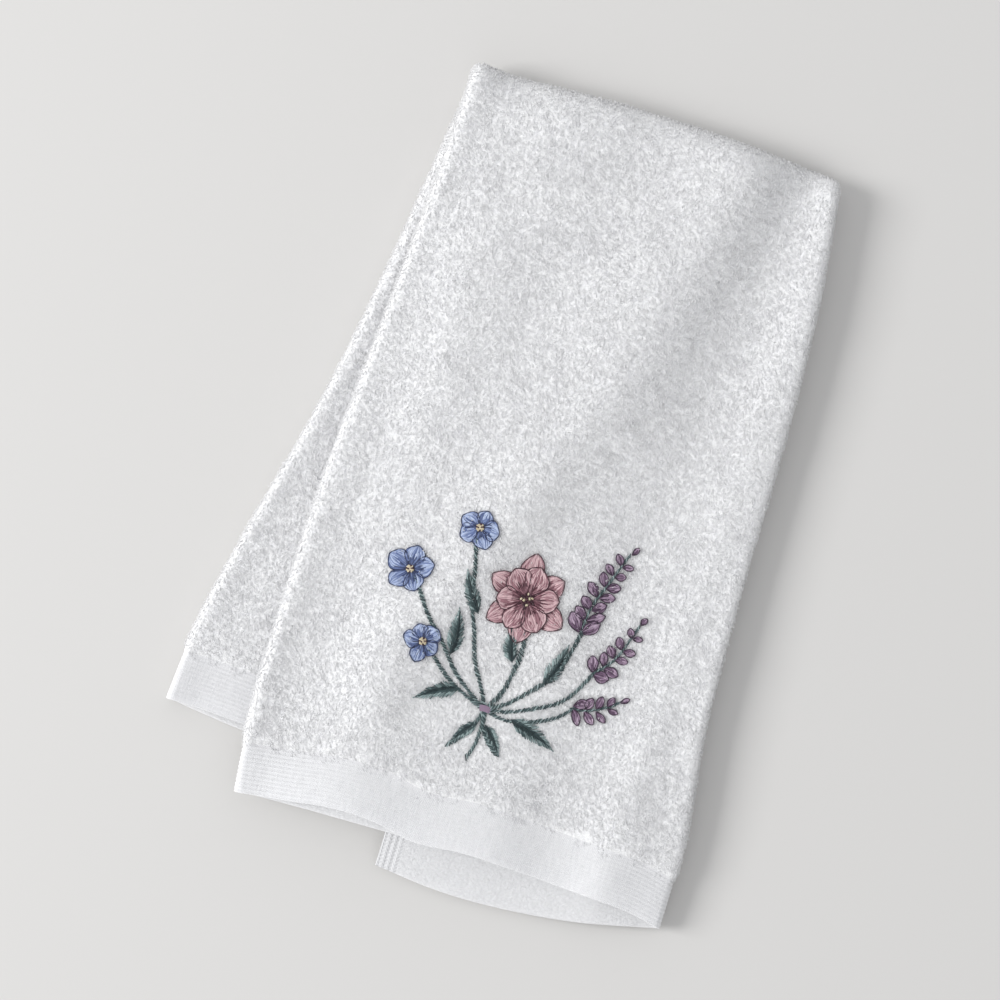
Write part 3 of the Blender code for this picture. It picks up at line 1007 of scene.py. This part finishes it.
def sewPosy():
    tie = (3, -30)
    for end, pull, width in (
        ((6, 12), (16, -10), 1.9),
        ((-40, 13), (-10, -26), 1.5),
        ((-28, -12), (-6, -30), 1.3),
        ((-20, 37), (-16, 2), 1.6),
        ((31, 12), (29, -16), 1.5),
        ((41, -3), (32, -26), 1.4),
        ((37, -19), (22, -36), 1.3),
        ((-8, -48), (2, -40), 1.5),
        ((1, -51), (6, -40), 1.6),
        ((13, -47), (4, -40), 1.5),
    ):
        sewStem(curve(tie, pull, end), width)
    for at, angle, length, width, bend in (
        ((-17, -13), 84, 18, 5.8, 3.5),
        ((-11, 6), 132, 17, 5.2, -3.5),
        ((-9, -25), 196, 18, 5.6, 3.5),
        ((22, -14), 62, 18, 5.4, 3.5),
        ((8, -9), 118, 15, 5.0, -3.0),
        ((14, -31), -8, 20, 6.0, -4.0),
        ((2, -36), 222, 13, 4.2, 2.0),
        ((5, -36), -40, 13, 4.2, -2.0),
    ):
        sewLeaf(at, angle, length, width, bend)
    sewSpike(curve((30, 10), (32, 28), (41, 46)), 8, 4.9)
    sewSpike(curve((40, -4), (49, 4), (53, 20)), 6, 4.5)
    sewSpike(curve((36, -19), (46, -20), (54, -12)), 5, 4.2)
    for name in ("blueLeft", "blueLow", "blueHigh"):
        flower = blooms[name]
        sewRays(flower["at"], 0.4, 3.4, 22, "navy", -0.3)
        sewPetals(flower, 0, 5, 1, "blue", "navy", 0)
        sewEye(flower["at"], 1.1, "cream", "burgundy")
    flower = blooms["open"]
    sewPetals(flower, 30, 6, 1.08, "pink", "burgundy", 0)
    sewRays(flower["at"], 0.6, 6.0, 40, "burgundy", 0.9)
    sewPetals(flower, 0, 6, 0.86, "pink", "burgundy", 1.4)
    sewEye(flower["at"], 2.3, "burgundy", "cream")
    sewTie(tie)


def panelPlace(across, down, rise):
    # a point over the front panel, and this far along the cloth's normal from its middle
    step = 0.0005
    layer = ("front", "panel")
    height = layerHeight(layer, across, down)
    slopeAcross = (layerHeight(layer, across + step, down) - height) / step
    slopeDown = (layerHeight(layer, across, down + step) - height) / step
    normal = unit(np.stack([-slopeAcross, slopeDown, np.ones_like(height)], axis=-1))
    return np.stack([across, -down, height + cloth["thickness"] / 2], axis=-1) + normal * rise[..., None]


def makeStitchLines(shift):
    # one polyline for each stitch, with its radius and colour on its points
    points, edges, radii, colors = [], [], [], []
    for line, thread, shade, radius, layer in stitches:
        walked = np.linspace(0, 1, len(line))
        across = posy["across"] + line[:, 0] / 1000
        down = posy["down"] - line[:, 1] / 1000
        arch = posy["arch"] * (1 - (2 * walked - 1) ** 4)
        rise = posy["rise"] + arch + layer * posy["layerRise"] - posy["arch"]
        rise = rise + dice.uniform(-posy["unevenRise"], posy["unevenRise"])
        dark, middle, light = (np.array(color) for color in threads[thread])
        shade = min(max(shade, 0), 1)
        color = dark + (middle - dark) * min(1, shade * 2) + (light - middle) * max(0, shade * 2 - 1)
        first = len(points)
        points.extend(panelPlace(across, down, rise) + shift)
        edges.extend((first + i, first + i + 1) for i in range(len(line) - 1))
        radii.extend([radius / 1000] * len(line))
        colors.extend([(*color, 1)] * len(line))
    lines = meshObject("stitchLines", points, np.zeros((0, 3), int), edges)
    storeValues(lines.data, "threadRadius", "FLOAT", "POINT", radii)
    storeValues(lines.data, "threadColor", "FLOAT_COLOR", "POINT", colors, "color")
    return lines


def threadTree():
    tree, given, result = nodeTree("threadNodes", (
        ("Sides", "NodeSocketInt", 4),
        ("Material", "NodeSocketMaterial", None),
    ))
    line = addNode(tree, "GeometryNodeMeshToCurve", {"Mesh": given.outputs["Geometry"]})
    circle = addNode(tree, "GeometryNodeCurvePrimitiveCircle", {
        "Resolution": given.outputs["Sides"],
        "Radius": 1.0,
    })
    tube = addNode(tree, "GeometryNodeCurveToMesh", {
        "Curve": line.outputs["Curve"],
        "Profile Curve": circle.outputs["Curve"],
        "Scale": stored(tree, "threadRadius"),
        "Fill Caps": True,
    })
    smooth = addNode(tree, "GeometryNodeSetShadeSmooth", {"Geometry": tube.outputs["Mesh"]})
    real = addNode(tree, "GeometryNodeRealizeInstances", {"Geometry": smooth.outputs["Geometry"]})
    finish = addNode(tree, "GeometryNodeSetMaterial", {
        "Geometry": real.outputs["Geometry"],
        "Material": given.outputs["Material"],
    })
    tree.links.new(finish.outputs["Geometry"], result.inputs["Geometry"])
    return tree


pileValues = {
    "Spacing": 0.00093,
    "Loop height": 0.00122,
    "Loop width": 0.00055,
    "Yarn radius": 0.0002,
    "Least lean": 0.5,
    "Most lean": 1.15,
    "Clear of stitches": 0.00055,
    "Lump height": 0.0011,
    "Seed": 4,
}
# how the loops vary over the cloth: scales are of noise, and turns are in radians
pileVaries = {
    "lumpScale": 62.0,
    "mostOnArea": 1600000.0,  # loops on a square metre
    "raggedScale": 190.0,
    "raggedShare": 3.6,
    "standsFrom": 2.4,  # of the nap and the ragged share together
    "footHeight": 0.55,  # share of the height that a loop has where the nap begins
    "napHeight": 0.3,  # and what a nap of one adds to it
    "patchScale": 85.0,
    "patchTurn": 1.8,
    "ownTurn": 0.5,
    "leastFacing": 0.7,
    "mostFacing": 2.4,
    "overFloor": 0.0001,
}
pileLengths = 5  # the front panel's pile is made in this many pieces, from the cross fold down
pileLength = 0.058


def loopVariant(tree, given, wide, side, high):
    # one arch of yarn: its two feet apart along X and its shoulders thrown out along Y
    def scaled(name, factor):
        return calculate(tree, "MULTIPLY", given.outputs[name], factor)

    def place(x, y, z):
        parts = {"X": scaled("Loop width", x), "Y": scaled("Loop width", y), "Z": scaled("Loop height", z)}
        return addNode(tree, "ShaderNodeCombineXYZ", parts).outputs["Vector"]

    arch = addNode(tree, "GeometryNodeCurvePrimitiveBezierSegment", {
        "Resolution": 3,
        "Start": place(-wide / 2, 0, -0.3),
        "Start Handle": place(-wide * 1.3, side, high * 1.3),
        "End Handle": place(wide * 1.3, -side, high * 1.3),
        "End": place(wide / 2, 0, -0.3),
    })
    circle = addNode(tree, "GeometryNodeCurvePrimitiveCircle", {
        "Resolution": 3,
        "Radius": given.outputs["Yarn radius"],
    })
    tube = addNode(tree, "GeometryNodeCurveToMesh", {
        "Curve": arch.outputs["Curve"],
        "Profile Curve": circle.outputs["Curve"],
        "Fill Caps": True,
    })
    smooth = addNode(tree, "GeometryNodeSetShadeSmooth", {"Geometry": tube.outputs["Mesh"]})
    return addNode(tree, "GeometryNodeGeometryToInstance", {"Geometry": smooth.outputs["Geometry"]})


def turnBy(tree, rotation, x, z):
    euler = addNode(tree, "ShaderNodeCombineXYZ", {"X": x, "Z": z})
    by = addNode(tree, "FunctionNodeEulerToRotation", {"Euler": euler.outputs["Vector"]})
    return addNode(tree, "FunctionNodeRotateRotation", {
        "Rotation": rotation,
        "Rotate By": by.outputs["Rotation"],
    }, rotation_space="LOCAL").outputs["Rotation"]


def pileTree():
    tree, given, result = nodeTree("pileNodes", (
        ("Spacing", "NodeSocketFloat", 0.0012),
        ("Loop height", "NodeSocketFloat", 0.0017),
        ("Loop width", "NodeSocketFloat", 0.0007),
        ("Yarn radius", "NodeSocketFloat", 0.00026),
        ("Least lean", "NodeSocketFloat", 0.45),
        ("Most lean", "NodeSocketFloat", 1.15),
        ("Clear of stitches", "NodeSocketFloat", 0.0006),
        ("Lump height", "NodeSocketFloat", 0.001),
        ("Region", "NodeSocketInt", 0),
        ("Seed", "NodeSocketInt", 4),
        ("Stitches", "NodeSocketObject", None),
        ("Material", "NodeSocketMaterial", None),
    ))
    position = addNode(tree, "GeometryNodeInputPosition").outputs["Position"]
    lumps = calculate(tree, "SUBTRACT", noise(tree, position, scale=pileVaries["lumpScale"], detail=2.0), 0.5)
    lumpy = addNode(tree, "GeometryNodeSetPosition", {
        "Geometry": given.outputs["Geometry"],
        "Offset": scaledBy(
            tree,
            addNode(tree, "GeometryNodeInputNormal").outputs["Normal"],
            calculate(tree, "MULTIPLY", lumps, given.outputs["Lump height"]),
        ),
    })
    scatter = addNode(tree, "GeometryNodeDistributePointsOnFaces", {
        "Mesh": lumpy.outputs["Geometry"],
        "Distance Min": given.outputs["Spacing"],
        "Density Max": pileVaries["mostOnArea"],
        "Density Factor": stored(tree, "pile"),
        "Seed": given.outputs["Seed"],
    }, distribute_method="POISSON")

    # keep this region's loops that stand clear of the stitches
    other = addNode(tree, "FunctionNodeCompare", {
        "A_INT": stored(tree, "pileRegion", "INT"),
        "B_INT": given.outputs["Region"],
    }, data_type="INT", operation="NOT_EQUAL").outputs["Result"]
    sewn = addNode(tree, "GeometryNodeObjectInfo", {"Object": given.outputs["Stitches"]})
    near = addNode(tree, "GeometryNodeProximity", {
        "Target": sewn.outputs["Geometry"],
    }, target_element="EDGES").outputs["Distance"]
    covered = calculate(tree, "LESS_THAN", near, given.outputs["Clear of stitches"])
    nap = stored(tree, "nap")
    patchy = noise(tree, position, scale=pileVaries["raggedScale"], detail=2.0)
    ragged = calculate(tree, "MULTIPLY", patchy, pileVaries["raggedShare"])
    uneven = calculate(tree, "ADD", ragged, randomValue(tree, -0.25, 0.25, 8))
    thin = calculate(tree, "LESS_THAN", calculate(tree, "ADD", nap, uneven), pileVaries["standsFrom"])
    drop = calculate(tree, "MAXIMUM", calculate(tree, "MAXIMUM", other, thin), covered)
    named = addNode(tree, "GeometryNodeStoreNamedAttribute", {
        "Geometry": scatter.outputs["Points"],
        "Name": "standing",
        "Value": scatter.outputs["Normal"],
    }, data_type="FLOAT_VECTOR", domain="POINT")
    kept = addNode(tree, "GeometryNodeDeleteGeometry", {
        "Geometry": named.outputs["Geometry"],
        "Selection": calculate(tree, "GREATER_THAN", drop, 0.5),
    }, domain="POINT").outputs["Geometry"]

    # loops lean together in patches, and each one a little its own way
    standing = stored(tree, "standing", "FLOAT_VECTOR")
    upright = addNode(tree, "FunctionNodeAlignRotationToVector", {"Vector": standing}, axis="Z")
    patches = noise(tree, position, scale=pileVaries["patchScale"], detail=1.0)
    patches = calculate(tree, "SUBTRACT", patches, 0.5)
    patchTurn = calculate(tree, "MULTIPLY", patches, pileVaries["patchTurn"])
    ownTurn = randomValue(tree, -pileVaries["ownTurn"], pileVaries["ownTurn"], 1)
    lean = randomValue(tree, 0.0, 1.0, 2)
    leanRange = calculate(tree, "SUBTRACT", given.outputs["Most lean"], given.outputs["Least lean"])
    leanBy = calculate(tree, "ADD", calculate(tree, "MULTIPLY", lean, leanRange), given.outputs["Least lean"])
    leaning = turnBy(tree, upright.outputs["Rotation"], leanBy, calculate(tree, "ADD", patchTurn, ownTurn))
    facing = randomValue(tree, pileVaries["leastFacing"], pileVaries["mostFacing"], 3)
    rotation = turnBy(tree, leaning, 0.0, facing)

    variants = addNode(tree, "GeometryNodeJoinGeometry")
    for wide, side, high in ((1.0, 0.35, 1.0), (0.6, 1.0, 1.15), (1.5, -0.5, 0.85)):
        variant = loopVariant(tree, given, wide, side, high)
        tree.links.new(variant.outputs["Instances"], variants.inputs["Geometry"])
    which = addNode(tree, "FunctionNodeRandomValue", {"Min_002": 0, "Max_002": 2, "Seed": 5}, data_type="INT")
    size = addNode(tree, "FunctionNodeRandomValue", {
        "Min": (0.75, 0.75, 0.75),
        "Max": (1.25, 1.25, 1.2),
        "Seed": 6,
    }, data_type="FLOAT_VECTOR")
    grown = calculate(tree, "MULTIPLY", nap, pileVaries["napHeight"])
    shorter = calculate(tree, "ADD", grown, pileVaries["footHeight"])
    loops = addNode(tree, "GeometryNodeInstanceOnPoints", {
        "Points": kept,
        "Instance": variants.outputs["Geometry"],
        "Pick Instance": True,
        "Instance Index": socketOf(which.outputs, "Value_002"),
        "Rotation": rotation,
        "Scale": scaledBy(tree, socketOf(size.outputs, "Value"), shorter),
    })
    toned = addNode(tree, "GeometryNodeStoreNamedAttribute", {
        "Geometry": loops.outputs["Instances"],
        "Name": "loopTone",
        "Value": randomValue(tree, 0.0, 1.0, 7),
    }, data_type="FLOAT", domain="INSTANCE")
    directed = addNode(tree, "GeometryNodeStoreNamedAttribute", {
        "Geometry": toned.outputs["Geometry"],
        "Name": "clothNormal",
        "Value": standing,
    }, data_type="FLOAT_VECTOR", domain="INSTANCE")
    real = addNode(tree, "GeometryNodeRealizeInstances", {"Geometry": directed.outputs["Geometry"]})

    # loops that would pass through what the towel lies on are pressed flat against it
    parts = addNode(tree, "ShaderNodeSeparateXYZ", {"Vector": position})
    above = addNode(tree, "ShaderNodeCombineXYZ", {
        "X": parts.outputs["X"],
        "Y": parts.outputs["Y"],
        "Z": calculate(tree, "MAXIMUM", parts.outputs["Z"], pileVaries["overFloor"]),
    })
    pressed = addNode(tree, "GeometryNodeSetPosition", {
        "Geometry": real.outputs["Geometry"],
        "Position": above.outputs["Vector"],
    })
    finish = addNode(tree, "GeometryNodeSetMaterial", {
        "Geometry": pressed.outputs["Geometry"],
        "Material": given.outputs["Material"],
    })
    tree.links.new(finish.outputs["Geometry"], result.inputs["Geometry"])
    return tree


def makePile(made, pile, rightSide, lines, material):
    # the loops stand on a copy of the right side, which is taken away again
    rows, columns = pile.shape
    index = np.arange(rows * columns).reshape(rows, columns)
    ground = meshObject("pileGround", rightSide.reshape(-1, 3), gridQuads(index))
    nap = napShare(made)
    storeValues(ground.data, "pile", "FLOAT", "POINT", pile * (nap > 0))
    storeValues(ground.data, "nap", "FLOAT", "POINT", nap)
    down = made["shift"][1] - made["points"][:, :, 1]
    leg = np.broadcast_to(made["leg"][:, None], pile.shape)
    onPanel = np.broadcast_to(made["columns"]["strip"] == "panel", pile.shape)
    length = np.clip((down / pileLength).astype(int), 0, pileLengths - 1)
    elsewhere = np.where(leg == "back", pileLengths + 1, pileLengths)
    region = np.where(onPanel & (leg == "front"), length, elsewhere)
    storeValues(ground.data, "pileRegion", "INT", "FACE", region[:-1, :-1].astype(np.int32))
    ground.data.shade_smooth()
    tree = pileTree()
    pieces = []
    for number in range(pileLengths + 2):
        values = {**pileValues, "Region": number, "Stitches": lines, "Material": material}
        piece = baked(ground, tree, values, f"pile{number}", [material])
        print("pile", number, len(piece.data.polygons), "faces")
        pieces.append(piece)
    bpy.data.objects.remove(ground)
    return pieces


studio = {
    "turn": math.radians(17.2),  # of the towel in the view, clockwise
    "center": (0.0611, 0.1632),  # of the view: across and down on the towel
    "centerHeight": 0.018,
    "lens": 85,
    "distance": 0.944,
    "floorColor": (0.640, 0.630, 0.615),
    "floorReach": 8,
    "keySize": 1.3,
    "keyDistance": 3.0,
    "keyHeight": math.radians(35),
    "keyAbove": 0.12,  # how far up the view from straight left, as a share
    "keyPower": 73,
    "fillStrength": 0.71,
}


def aim(piece, target):
    direction = np.array(target) - np.array(piece.location)
    yaw = math.atan2(direction[1], direction[0])
    level = math.hypot(direction[0], direction[1])
    piece.rotation_euler = (math.atan2(level, -direction[2]), 0, yaw - math.pi / 2)


def makeStudio(shift):
    across, down = studio["center"]
    center = np.array([shift[0] + across, shift[1] - down, studio["centerHeight"]])
    camera = bpy.data.objects.new("camera", bpy.data.cameras.new("camera"))
    camera.data.lens = studio["lens"]
    camera.data.sensor_width = 36
    camera.location = center + np.array([0, 0, studio["distance"]])
    camera.rotation_euler = (0, 0, studio["turn"])
    bpy.context.scene.collection.objects.link(camera)
    bpy.context.scene.camera = camera

    right = np.array([math.cos(studio["turn"]), math.sin(studio["turn"]), 0])
    up = np.array([-right[1], right[0], 0])
    key = bpy.data.objects.new("keyLight", bpy.data.lights.new("keyLight", "AREA"))
    key.data.shape = "SQUARE"
    key.data.size = studio["keySize"]
    key.data.energy = studio["keyPower"]
    level = math.cos(studio["keyHeight"]) * (-right + studio["keyAbove"] * up)
    key.location = center + studio["keyDistance"] * (level + np.array([0, 0, math.sin(studio["keyHeight"])]))
    aim(key, center)
    bpy.context.scene.collection.objects.link(key)

    world = bpy.data.worlds.new("studioLight")
    world.use_nodes = True
    world.node_tree.nodes["Background"].inputs["Color"].default_value = (0.97, 0.98, 1, 1)
    world.node_tree.nodes["Background"].inputs["Strength"].default_value = studio["fillStrength"]
    bpy.context.scene.world = world
    bpy.context.scene.view_settings.view_transform = "Standard"

    material = newMaterial("paleFloor", studio["floorColor"], 0.8, 0)[0]
    reach = studio["floorReach"]
    corners = [(-reach, -reach, 0), (reach, -reach, 0), (reach, reach, 0), (-reach, reach, 0)]
    floor = meshObject("floor", corners, [(0, 1, 2, 3)])
    floor.data.materials.append(material)


def main():
    made = clothGrid()
    pile = pileShare(made)
    clothPiece, rightSide = makeCloth(made, pile, (
        fuzzyMaterial("pressedCotton", cotton["groundHollowShade"], cotton["groundLight"], 0.0009),
        bandMaterial(),
        sideHemMaterial(),
        fuzzyMaterial("insideHem", cotton["insideHollowShade"], cotton["insideLight"], 0.0004),
    ))
    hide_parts("towel_cloth")
    print("cloth", len(clothPiece.data.polygons), "faces")

    sewPosy()
    lines = makeStitchLines(made["shift"])
    thread = threadMaterial()
    embroidery = baked(lines, threadTree(), {"Sides": 4, "Material": thread}, "embroidery", [thread])
    print("embroidery", len(stitches), "stitches", len(embroidery.data.polygons), "faces")

    pieces = makePile(made, pile, rightSide, lines, loopMaterial())
    bpy.data.objects.remove(lines)
    for piece in (clothPiece, *pieces):
        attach(piece, "root")
    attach(embroidery, "root")
    makeStudio(made["shift"])
    print("studio set")


main()
